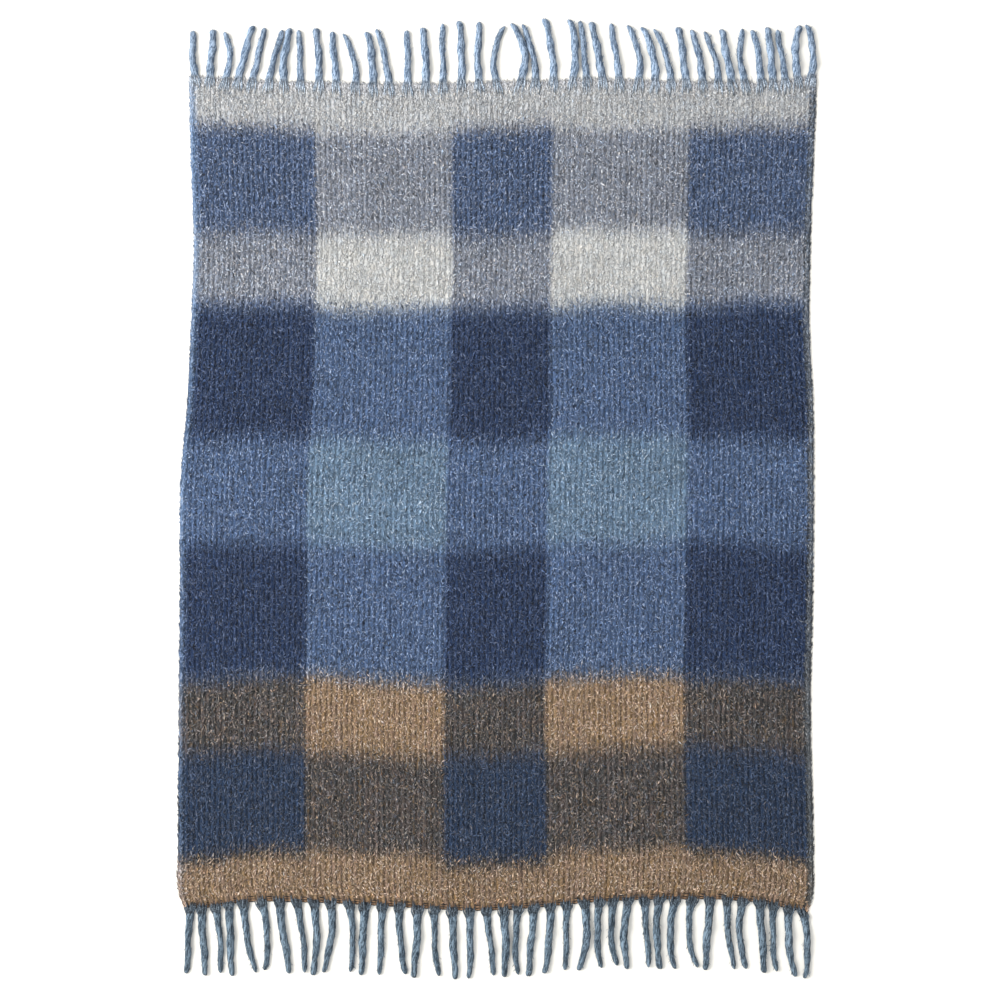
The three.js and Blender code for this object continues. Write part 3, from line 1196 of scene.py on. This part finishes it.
    def build(self, name: str, hairs: Hairs, kind: HairKind, finish: bpy.types.Material) -> bpy.types.Object:
        """Makes one piece of nap.

        Args:
            name: The piece's name.
            hairs: Its hairs.
            kind: Which kind they are.
            finish: Its material.

        Returns:
            The piece, with each hair's root in the weave and its yarn tone, with painted shade and light,
            kept on its points.
        """
        check, parts = self.panel.check, kind.parts
        u, down = hairs.u, hairs.down
        slack = self.overhang / check.width
        run = hairs.length / parts
        lifts = [self.sunk] + [hairs.lift * (1 - kind.droop * (n / parts)) for n in range(1, parts + 1)]
        sketches = []
        for part in range(parts):
            lean = hairs.lean + hairs.bend * (part - (parts - 1) / 2)
            next_u = np.clip(u + run * np.sin(lean) / check.width, -slack, 1 + slack)
            next_down = np.minimum(down - run * np.cos(lean) / check.length, 1.0)
            root, tip = self._spot(u, down, lifts[part]), self._spot(next_u, next_down, lifts[part + 1])
            middle = self._spot((u + next_u) / 2, (down + next_down) / 2, hairs.lift)
            sketches.append(spindles(root, middle, tip, hairs.half_width, self.crest))
            u, down = next_u, next_down
        sketch = joined(sketches, (parts, 1), [(part, 0) for part in range(parts)])
        weave = self.panel.weave(hairs.u, hairs.down) + hairs.carried
        weave[:, :2] = np.clip(weave[:, :2], 0, (check.width, check.length))
        # Painted shade at each hair's root, down in the nap, and painted light at its tip
        yarn = hairs.yarn[:, None, :] * np.array([kind.root_shade, 1.0, 1.0, self.tip_shade])[:, None]
        weave = np.repeat(weave, HAIR_POINTS, axis=0)
        copies = (parts, 1)
        notes = {WEAVE: np.tile(weave, copies), YARN_AND_SHADE: np.tile(yarn.reshape(-1, 3), copies)}
        return mesh_piece(name, sketch, finish, notes)

    def dress(self, tuft_wool: bpy.types.Material, hair_wool: bpy.types.Material) -> list[bpy.types.Object]:
        """Makes all of the nap.

        Args:
            tuft_wool: The tufts' material.
            hair_wool: The curls' and stray hairs' material.

        Returns:
            Its pieces.
        """
        rng = np.random.default_rng(self.seed)
        tufts, curls = self.tufts(rng), self.curls(rng)
        pieces = []
        for name, hairs, kind, wool in (
            ("tufts", tufts, self.tuft, tuft_wool),
            ("curls", curls, self.curl, hair_wool),
        ):
            turn = np.arange(kind.count) % 2
            for half in range(2):
                pieces.append(self.build(f"nap_{name}_{half + 1}", hairs.picked(turn == half), kind, wool))
        for name, grow, kind, wool in (
            ("hem_tufts", self.hems, self.hem, tuft_wool),
            ("rim_tufts", self.rims, self.rim, tuft_wool),
            ("stray_hairs", self.strays, self.stray, hair_wool),
        ):
            pieces.append(self.build(f"nap_{name}", grow(rng), kind, wool))
        return pieces


@dataclass
class Lock:
    """One lock of the fringe: two plies twisted together, flared where they leave the last pick."""

    number: int
    root: float
    lean: float
    bow: float
    reach: float


@dataclass(frozen=True)
class Gathers:
    """The warp ends that run from the last pick into each lock, as a fan of slim yarns."""

    count: int = 11
    spread: float = 0.0098
    uneven: float = 0.08
    inset: Span = (0.007, 0.013)
    root: float = 0.0036
    run: Span = (0.15, 0.26)
    tip: Span = (0.003, 0.006)
    tip_spread: float = 0.0040
    middle: float = 0.38
    middle_spread: float = 0.0020
    level: float = 0.0056
    level_uneven: Span = (-0.0006, 0.0004)
    half_width: float = 0.0018
    widths: Span = (0.7, 1.15)
    crest: float = 0.6
    tone: Span = (0.7, 1.25)
    root_shares: tuple[float, ...] = (1.0, 0.7, 0.7, 0.0)

    def build(self, fringe: Fringe, lock: Lock, rng: np.random.Generator) -> Sketch:
        """Makes one lock's fan.

        Args:
            fringe: The fringe.
            lock: The lock.
            rng: Where the yarns' differences come from.

        Returns:
            The yarns.
        """
        count = self.count
        fan = np.linspace(-1, 1, count) + rng.normal(0, self.uneven, count)
        root_x = lock.root + fan * self.spread
        inset = fringe.end.value * rng.uniform(*self.inset, count)
        root_y = fringe.outline.last_pick(fringe.end, root_x) - inset
        tip_x, tip_y, _ = fringe.route(lock, rng.uniform(*self.run, count))
        root = np.stack([root_x, root_y, np.full(count, self.root)], 1)
        tip = np.stack([tip_x + fan * self.tip_spread, tip_y, rng.uniform(*self.tip, count)], 1)
        middle = (1 - self.middle) * root + self.middle * tip
        middle[:, 0] += fan * self.middle_spread
        middle[:, 2] = self.level + rng.uniform(*self.level_uneven, count)
        return spindles(root, middle, tip, self.half_width * rng.uniform(*self.widths, count), self.crest)

    def tints(self, fringe: Fringe, locks: int, rng: np.random.Generator) -> Array:
        """How the yarns are tinted.

        Args:
            fringe: The fringe.
            locks: How many locks it has.
            rng: Where the yarns' differences come from.

        Returns:
            The tint of each of their points.
        """
        tone = rng.uniform(*self.tone, (self.count * locks, 1, 1))
        shares = np.array(self.root_shares)[:, None]
        return (tone * (1 + (np.array(fringe.root_tint) - 1) * shares)).reshape(-1, 3)


@dataclass(frozen=True)
class Wisps:
    """Each lock's loose hairs."""

    count: int = 110
    run: Span = (0.08, 0.93)
    crowding: float = 0.85
    around: Span = (-0.1 * math.pi, 1.1 * math.pi)
    length: Span = (0.005, 0.011)
    reach: float = 0.0056
    reach_run: Span = (-0.1, 0.2)
    level: float = 0.0045
    lowest_root: float = 0.0008
    lowest_tip: float = 0.0006
    lean: float = 0.30
    splay: float = 0.12
    droop: Span = (-0.002, 0.001)
    arch: Span = (0.0001, 0.0007)
    half_width: Span = (0.00025, 0.00055)
    crest: float = 0.7
    tone: Span = (0.9, 1.4)

    def build(self, fringe: Fringe, lock: Lock, rng: np.random.Generator) -> Sketch:
        """Makes one lock's hairs.

        Args:
            fringe: The fringe.
            lock: The lock.
            rng: Where the hairs' differences come from.

        Returns:
            The hairs.
        """
        count = self.count
        t = rng.uniform(*self.run, count) ** self.crowding
        x, y, _ = fringe.route(lock, t)
        angle = rng.uniform(*self.around, count)
        length = rng.uniform(*self.length, count)
        reach = self.reach * smooth(t, *self.reach_run) * fringe.narrowed(t)
        z = np.maximum(self.level + reach * np.sin(angle), self.lowest_root)
        root = np.stack([x + reach * np.cos(angle), y, z], 1)
        lean = rng.normal(0, self.lean, count) + self.splay * np.cos(angle)
        way = np.stack([np.sin(lean), fringe.end.value * np.cos(lean), np.zeros(count)], 1)
        tip = root + way * length[:, None]
        tip[:, 2] = np.maximum(tip[:, 2] + rng.uniform(*self.droop, count), self.lowest_tip)
        middle = (root + tip) / 2
        middle[:, 2] += rng.uniform(*self.arch, count)
        return spindles(root, middle, tip, rng.uniform(*self.half_width, count), self.crest)

    def tints(self, locks: int, rng: np.random.Generator) -> Array:
        """The tint of each point of the hairs of this many locks."""
        tone = rng.uniform(*self.tone, self.count * locks)
        return np.repeat(tone, 3 * HAIR_POINTS).reshape(-1, 3)


@dataclass
class Fringe:
    """All locks of one end."""

    outline: Outline
    end: End
    rows: tuple[LockRow, ...]
    finish: FringeWool
    gathers: Gathers
    wisps: Wisps = Wisps()
    seed: int = 21
    strip: float = 0.010
    per_row: int = 3
    side_margin: float = 0.014
    reach_spread: float = 0.004
    bow_gain: float = 1.35
    wriggle: float = 0.0010
    wriggle_run: Span = (0.1, 0.4)
    wriggle_turns: float = 1.6
    wriggle_start: float = 5.0
    turns: float = 1.05
    turns_spread: float = 0.25
    flare: float = 0.2
    root_depth: float = 0.009
    root_apart: float = 0.0040
    root_half_width: float = 0.0052
    root_half_rise: float = 0.0009
    root_level: float = 0.0010
    root_tint: Colour = (1.0, 1.0, 1.0)
    root_tint_run: Span = (0.05, 0.20)
    ply_half_width: float = 0.0062
    ply_half_rise: float = 0.0046
    ply_apart: float = 0.0018
    ply_tone: Span = (0.88, 1.12)
    lumps: float = 0.03
    lump_turns: float = 2.3
    girth_spread: float = 0.16
    girth_beat: float = 2.4
    girth_run: Span = (0.1, 0.3)
    taper: float = 0.20
    taper_run: Span = (0.35, 1.0)
    closing: float = 0.4
    closing_run: Span = (0.5, 1.0)
    frayed: float = 0.0010
    frayed_run: Span = (0.72, 1.0)
    frayed_beat: int = 3
    unfrayed: float = 0.7
    tip_run: float = 0.05
    blunt: float = 0.85
    last_ring: float = 0.6
    end_caps: Span = (0.001, 0.0016)
    lowest: float = 0.0001
    # Painted shade on each lock's right flank, the side away from the light
    shaded_flank: float = 0.5
    shaded_flank_sides: Span = (-0.4, 0.6)
    shaded_flank_run: Span = (0.05, 0.25)
    rings: int = 40
    sides: int = 9
    yarns: int = 3
    yarn_relief: float = 0.12
    yarn_turns: float = 4.5
    fibre_turn: float = 48.0
    fibre_draw: float = 0.15
    fibre_apart: float = 0.05
    cell_margin: float = 0.02
    cap_room: float = 0.05

    def locks(self) -> list[Lock]:
        """The locks of the table, each with its own root.

        Returns:
            The locks from left to right.
        """
        down = 0.0 if self.end is End.HEAD else 1.0
        left, right = (float(side) for side in self.outline.sides(np.array(down)))
        roots = np.array([row.root for row in self.rows]) + self.outline.shift[0]
        found = []
        for number in range(self.per_row * len(self.rows)):
            place, k = divmod(number, self.per_row)
            low = min(max((number - 1) // self.per_row, 0), len(self.rows) - 2)
            share = (number - (low * self.per_row + 1)) / self.per_row
            root = roots[low] + (roots[low + 1] - roots[low]) * share
            root = min(max(root, left + self.side_margin), right - self.side_margin)
            row = self.rows[place]
            found.append(Lock(number, root, row.leans[k], row.bows[k], row.reach))
        return found

    def route(self, lock: Lock, t: Array) -> tuple[Array, Array, Array]:
        """A lock's line seen from above, and its twist.

        Args:
            lock: The lock.
            t: Shares of the way from root to tip.

        Returns:
            Its x, its y and its twist in radians.
        """
        spread = 2 * ((lock.number * GOLDEN) % 1) - 1
        reach = lock.reach + self.reach_spread * spread + self.root_depth
        out = self.end.value
        start = float(self.outline.last_pick(self.end, np.array(lock.root))) - out * self.root_depth
        x = lock.root + lock.lean * t + 4 * self.bow_gain * lock.bow * t * (1 - t)
        wave = np.sin(TAU * (self.wriggle_turns * t + self.wriggle_start * spread))
        x = x + self.wriggle * smooth(t, *self.wriggle_run) * wave
        turns = self.turns + self.turns_spread * spread
        return x, start + out * reach * t, out * TAU * turns * np.maximum(0, t - self.flare)

    def narrowed(self, t: Array) -> Array:
        """How much of its thickness a lock keeps on the way to its tip."""
        return 1 - self.taper * smooth(t, *self.taper_run)

    def _girth(self, lock: Lock, hand: int, t: Array) -> Array:
        """How thick a ply is: a little lumpy, blunt at its tip and thicker in some locks than in others.

        Args:
            lock: The lock.
            hand: Which of its plies.
            t: Shares of the way from root to tip.

        Returns:
            Shares of the full thickness.
        """
        girth = np.sqrt(1 - self.blunt * np.clip((t - 1 + self.tip_run) / self.tip_run, 0, 1) ** 2)
        girth = girth * (1 + self.lumps * np.sin(TAU * (self.lump_turns * t + lock.number * GOLDEN) + hand))
        fuller = self.girth_spread * math.sin(self.girth_beat * lock.number)
        return girth * (1 + fuller * smooth(t, *self.girth_run)) * self.narrowed(t)

    def _ply(self, lock: Lock, hand: int) -> tuple[Sketch, Array, Array]:
        """One of a lock's two plies.

        Args:
            lock: The lock.
            hand: -1 for the left ply at the root, 1 for the right one.

        Returns:
            The ply, closed at both ends, the tint of each of its points, with painted shade on its right
            flank, and the lay of the fibres there.
        """
        t = np.linspace(0, 1, self.rings + 1)
        t[-2] += self.last_ring * (t[-1] - t[-2])
        out = self.end.value
        middle, y, twist = self.route(lock, t)
        free = smooth(t, self.root_depth / (lock.reach + self.root_depth), self.flare)
        girth = self._girth(lock, hand, t)
        apart = self.root_apart + (self.ply_apart - self.root_apart) * free
        apart = apart * (1 - self.closing * smooth(t, *self.closing_run))
        if (lock.number * GOLDEN * self.frayed_beat) % 1 > self.unfrayed:
            apart = apart + self.frayed * smooth(t, *self.frayed_run)
        wide = girth * (self.root_half_width + (self.ply_half_width - self.root_half_width) * free)
        high = girth * (self.root_half_rise + (self.ply_half_rise - self.root_half_rise) * free)
        level = self.root_level * (1 - free) + free * (apart * np.abs(np.sin(twist)) + high)
        x = middle + hand * apart * np.cos(twist)
        z = np.maximum(level + hand * apart * np.sin(twist), high)
        angle = np.linspace(0, TAU, self.sides, endpoint=False)
        yarns = self.yarns * angle - out * TAU * self.yarn_turns * t[:, None] + hand
        grain = 1 + self.yarn_relief * free[:, None] * np.cos(yarns)
        ring_x = x[:, None] + wide[:, None] * grain * np.cos(angle)
        ring_z = np.maximum(z[:, None] + high[:, None] * grain * np.sin(angle), self.lowest)
        points = np.stack([ring_x, np.broadcast_to(y[:, None], ring_x.shape), ring_z], -1).reshape(-1, 3)
        back, ahead = self.end_caps
        tips = np.array([[x[0], y[0] - out * back, z[0]], [x[-1], y[-1] + out * ahead, z[-1]]])
        # Painted shade: each lock darker on its right flank, away from the light, from a little past its
        # root
        aside = (ring_x - middle[:, None]) / (apart + wide)[:, None]
        pale = 1 - self.shaded_flank * smooth(aside, *self.shaded_flank_sides) * smooth(t, *self.shaded_flank_run)[:, None]
        root = np.array(self.root_tint)
        tint = pale[..., None] * (root + (1 - root) * smooth(t, *self.root_tint_run)[:, None])[:, None, :]
        tints = np.concatenate([tint.reshape(-1, 3), tint[[0, -1]].mean(axis=1)])
        faces, corners = self._skin()
        if self.end is End.FOOT:
            faces, corners = faces[:, ::-1], corners[:, ::-1]
        sketch = Sketch(np.concatenate([points, tips]), faces, corners)
        return sketch, tints, self._fibres(lock, hand, t, angle)

    def _fibres(self, lock: Lock, hand: int, t: Array, angle: Array) -> Array:
        """Where each of a ply's points lies among its fibres, which wind round it.

        Args:
            lock: The lock.
            hand: Which of its plies.
            t: The rings' shares of the way from root to tip.
            angle: The sides' places round each ring.

        Returns:
            One place for each point, drawn together along the fibres.
        """
        along = (lock.reach + self.root_depth) * t[:, None]
        wound = angle + self.end.value * self.fibre_turn * along
        place = np.stack([np.cos(wound), np.sin(wound), np.zeros_like(wound)], -1) * self.ply_half_width
        place[..., 2] = self.fibre_draw * along
        place = np.concatenate([place.reshape(-1, 3), place[[0, -1]].mean(axis=1)])
        return place + np.array([lock.number, hand, 0]) * self.fibre_apart

    def _skin(self) -> tuple[Array, Array]:
        """A ply's faces, and its unrolled skin for the bake map.

        Returns:
            The faces and their corners' places, along and around the ply within one cell of the map.
        """
        rings, sides = self.rings, self.sides
        ring, side = np.divmod(np.arange(rings * sides), sides)
        lap = np.arange(sides)
        before, first, last, after = (np.full(sides, number) for number in (-1, 0, rings, rings + 1))
        triangles = (
            ((ring, side), (ring + 1, side), (ring + 1, side + 1)),
            ((ring, side), (ring + 1, side + 1), (ring, side + 1)),
            ((before, lap + 0.5), (first, lap), (first, lap + 1)),
            ((after, lap + 0.5), (last, lap + 1), (last, lap)),
        )
        spots = np.concatenate([np.stack([np.stack(spot, -1) for spot in found], 1) for found in triangles])
        ring, side = spots[..., 0], spots[..., 1]
        ends = [ring < 0, ring > rings]
        tip = (rings + 1) * sides
        faces = np.select(ends, [tip, tip + 1], ring * sides + side % sides).astype(int)
        along = np.select(ends, [0.0, 1.0], self.cap_room + (1 - 2 * self.cap_room) * ring / rings)
        corners = np.stack([along, side / sides], -1)
        return faces, self.cell_margin + (1 - 2 * self.cell_margin) * corners

    def _piece(self, part: str, sketches: Sequence[Sketch], tints: Array, material: bpy.types.Material,
               lays: Union[Array, None] = None) -> bpy.types.Object:
        """Makes one piece of the fringe.

        Args:
            part: What it is.
            sketches: Its plies, or each lock's yarns or hairs.
            tints: The tint of each of their points.
            material: Its material.
            lays: Where each point lies among the fibres, if that isn't the point's own place.

        Returns:
            The piece.
        """
        count = len(sketches)
        cells = math.ceil(math.sqrt(count))
        sketch = joined(sketches, (cells, cells), [divmod(number, cells) for number in range(count)])
        notes = {YARN_AND_SHADE: tints, LAY: sketch.points if lays is None else lays}
        return mesh_piece(f"{self.end.name.lower()}_fringe_{part}", sketch, material, notes)

    def build(self) -> tuple[bpy.types.Object, bpy.types.Object, bpy.types.Object]:
        """Makes the fringe.

        Returns:
            Its twisted locks, the gathered ends at their roots and their loose hairs.
        """
        rng = np.random.default_rng(self.seed + self.end.value)
        locks = self.locks()
        material = self.finish.build()
        plies, tints, lays = zip(*(self._ply(lock, hand) for lock in locks for hand in (-1, 1)))
        tints = np.concatenate([rng.uniform(*self.ply_tone) * tint for tint in tints])
        strands = self._piece("locks", plies, tints, material, np.concatenate(lays))
        yarns = [self.gathers.build(self, lock, rng) for lock in locks]
        roots = self._piece("roots", yarns, self.gathers.tints(self, len(locks), rng), material)
        hairs = [self.wisps.build(self, lock, rng) for lock in locks]
        return strands, roots, self._piece("hairs", hairs, self.wisps.tints(len(locks), rng), material)


@dataclass
class FootPicks:
    """The last brown picks, which show as stacked dashes between the roots at the foot."""

    panel: WovenPanel
    picks: int = 3
    first: float = 0.0010
    apart: float = 0.0052
    half_width: float = 0.0013
    widths: Span = (0.8, 1.2)
    least_half: float = 0.001
    rise: float = 0.0012
    end_drop: float = 0.8
    crest: float = 0.4
    tucked: float = 0.0030
    uneven_half: Span = (-0.001, 0.001)
    uneven_place: float = 0.001
    uneven_inset: float = 0.0003
    seed: int = 5

    def build(self, fringe: Fringe, finish: bpy.types.Material) -> bpy.types.Object:
        """Makes the dashes.

        Args:
            fringe: The foot's fringe.
            finish: Their material.

        Returns:
            The dashes, as slim closed yarns.
        """
        rng = np.random.default_rng(self.seed)
        roots = np.array([lock.root for lock in fringe.locks()])
        gaps = np.repeat((roots[1:] + roots[:-1]) / 2, self.picks)
        spare = np.repeat(np.diff(roots) / 2 - fringe.gathers.spread, self.picks)
        count = len(gaps)
        half = np.maximum(spare, self.least_half) + self.tucked + rng.uniform(*self.uneven_half, count)
        centre = gaps + rng.normal(0, self.uneven_place, count)
        row = np.arange(count) % self.picks
        inset = self.first + self.apart * row + rng.normal(0, self.uneven_inset, count)
        left, right = (float(side) for side in self.panel.outline.sides(np.array(1.0)))
        down = 1 - inset / self.panel.check.length
        spots = []
        for way in (-1, 0, 1):
            u = (centre + way * half - left) / (right - left)
            z = self.panel.height(u, down) + self.rise * (1 - self.end_drop * abs(way))
            spots.append(np.stack([*self.panel.outline.plan(u, down), z], 1))
        dashes = spindles(*spots, self.half_width * rng.uniform(*self.widths, count), self.crest)
        return mesh_piece("foot_last_picks", dashes, finish)


@dataclass
class Studio:
    """The pale floor, the soft light from the left and the camera straight above."""

    floor_half: float = 60.0
    floor_level: float = -0.0004
    frame_width: float = 2.07
    lens: float = 85.0
    sensor: float = 36.0
    aim: Span = (0.0061, -0.0023)
    key_power: float = 420.0
    key_colour: Colour = (1.0, 0.98, 0.95)
    key_from: Triple = (-4.0, 0.9, 3.9)
    key_size: float = 3.4
    sky_colour: Colour = (0.95, 0.975, 1.0)
    sky_strength: float = 1.0

    def build(self) -> None:
        """Sets the stage."""
        corners = np.array([[[0, 0], [1, 0], [1, 1], [0, 1]]], float)
        points = np.column_stack([self.floor_half * (2 * corners[0] - 1), np.full(4, self.floor_level)])
        sketch = Sketch(points, np.array([[0, 1, 2, 3]]), corners)
        floor = mesh_piece("studio_floor", sketch, StudioFloor().build())
        self._light()
        self._camera()

    def _light(self) -> None:
        """Adds the soft key light on the left and an even sky."""
        lamp = bpy.data.lights.new("key_light", "AREA")
        lamp.energy = self.key_power
        lamp.color = self.key_colour
        lamp.size = self.key_size
        key = bpy.data.objects.new("key_light", lamp)
        x, y, z = self.key_from
        key.location = self.key_from
        key.rotation_euler = (math.atan2(math.hypot(x, y), z), 0.0, math.atan2(y, x) + math.pi / 2)
        key.visible_camera = False
        bpy.context.scene.collection.objects.link(key)
        world = bpy.data.worlds.new("studio_sky")
        world.use_nodes = True
        sky = world.node_tree.nodes["Background"]
        sky.inputs["Color"].default_value = (*self.sky_colour, 1.0)
        sky.inputs["Strength"].default_value = self.sky_strength
        bpy.context.scene.world = world
        bpy.context.scene.view_settings.view_transform = "Standard"

    def _camera(self) -> None:
        """Adds the camera, straight above with the head of the blanket at the top."""
        eye = bpy.data.cameras.new("camera")
        eye.lens = self.lens
        eye.sensor_width = self.sensor
        camera = bpy.data.objects.new("camera", eye)
        camera.location = (*self.aim, self.frame_width * self.lens / self.sensor)
        bpy.context.scene.collection.objects.link(camera)
        bpy.context.scene.camera = camera


def settle(piece: bpy.types.Object) -> bpy.types.Object:
    """Fixes a piece to the blanket and logs how many faces it has.

    Args:
        piece: The piece.

    Returns:
        The piece.
    """
    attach(piece, BODY)
    LOG.info("%s: %d faces", piece.name, len(piece.data.polygons))
    return piece


def main() -> None:
    """Builds the blanket, piece by piece, and the studio round it."""
    logging.basicConfig(level=logging.INFO, format="%(name)s %(message)s")
    Studio().build()
    outline = Outline.from_frame()
    check = Check()
    panel = WovenPanel(outline, check)
    cloth = settle(panel.build(GroundWool(check, panel.ribs).build()))
    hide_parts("cloth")

    tuft_wool = NapWool(check, "brushed_tufts", Coat(0.84, 0.14, 0.08)).build()
    hair_wool = NapWool(check, "brushed_hairs", Coat(0.84, 0.14, 0.12)).build()
    pieces = [settle(piece) for piece in Nap(panel).dress(tuft_wool, hair_wool)]

    head_wool = FringeWool("head_fringe_yarn", dye(176, 197, 222), dye(83, 104, 130))
    foot_wool = FringeWool("foot_fringe_yarn", dye(134, 155, 172), dye(44, 60, 74))
    head_roots = Gathers(
        count=8, inset=(0.012, 0.034), level=0.0070, root=0.0052, half_width=0.0013, tone=(0.8, 1.3))
    foot_roots = Gathers(spread=0.0122, inset=(0.005, 0.018))
    for fringe in (
        Fringe(outline, End.HEAD, HEAD_LOCKS, head_wool, head_roots,
               shaded_flank=0.42, root_tint=(1.75, 1.48, 1.22), taper=0.14),
        Fringe(outline, End.FOOT, FOOT_LOCKS, foot_wool, foot_roots,
               shaded_flank=0.30, root_tint=(0.54, 0.46, 0.43)),
    ):
        locks, gathers, loose = fringe.build()
        pieces += [settle(piece) for piece in (locks, gathers, loose)]
        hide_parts(f"{fringe.end.name.lower()}_fringe")
    pieces.append(settle(FootPicks(panel).build(fringe, PickWool().build())))


if __name__ == "__main__":
    main()
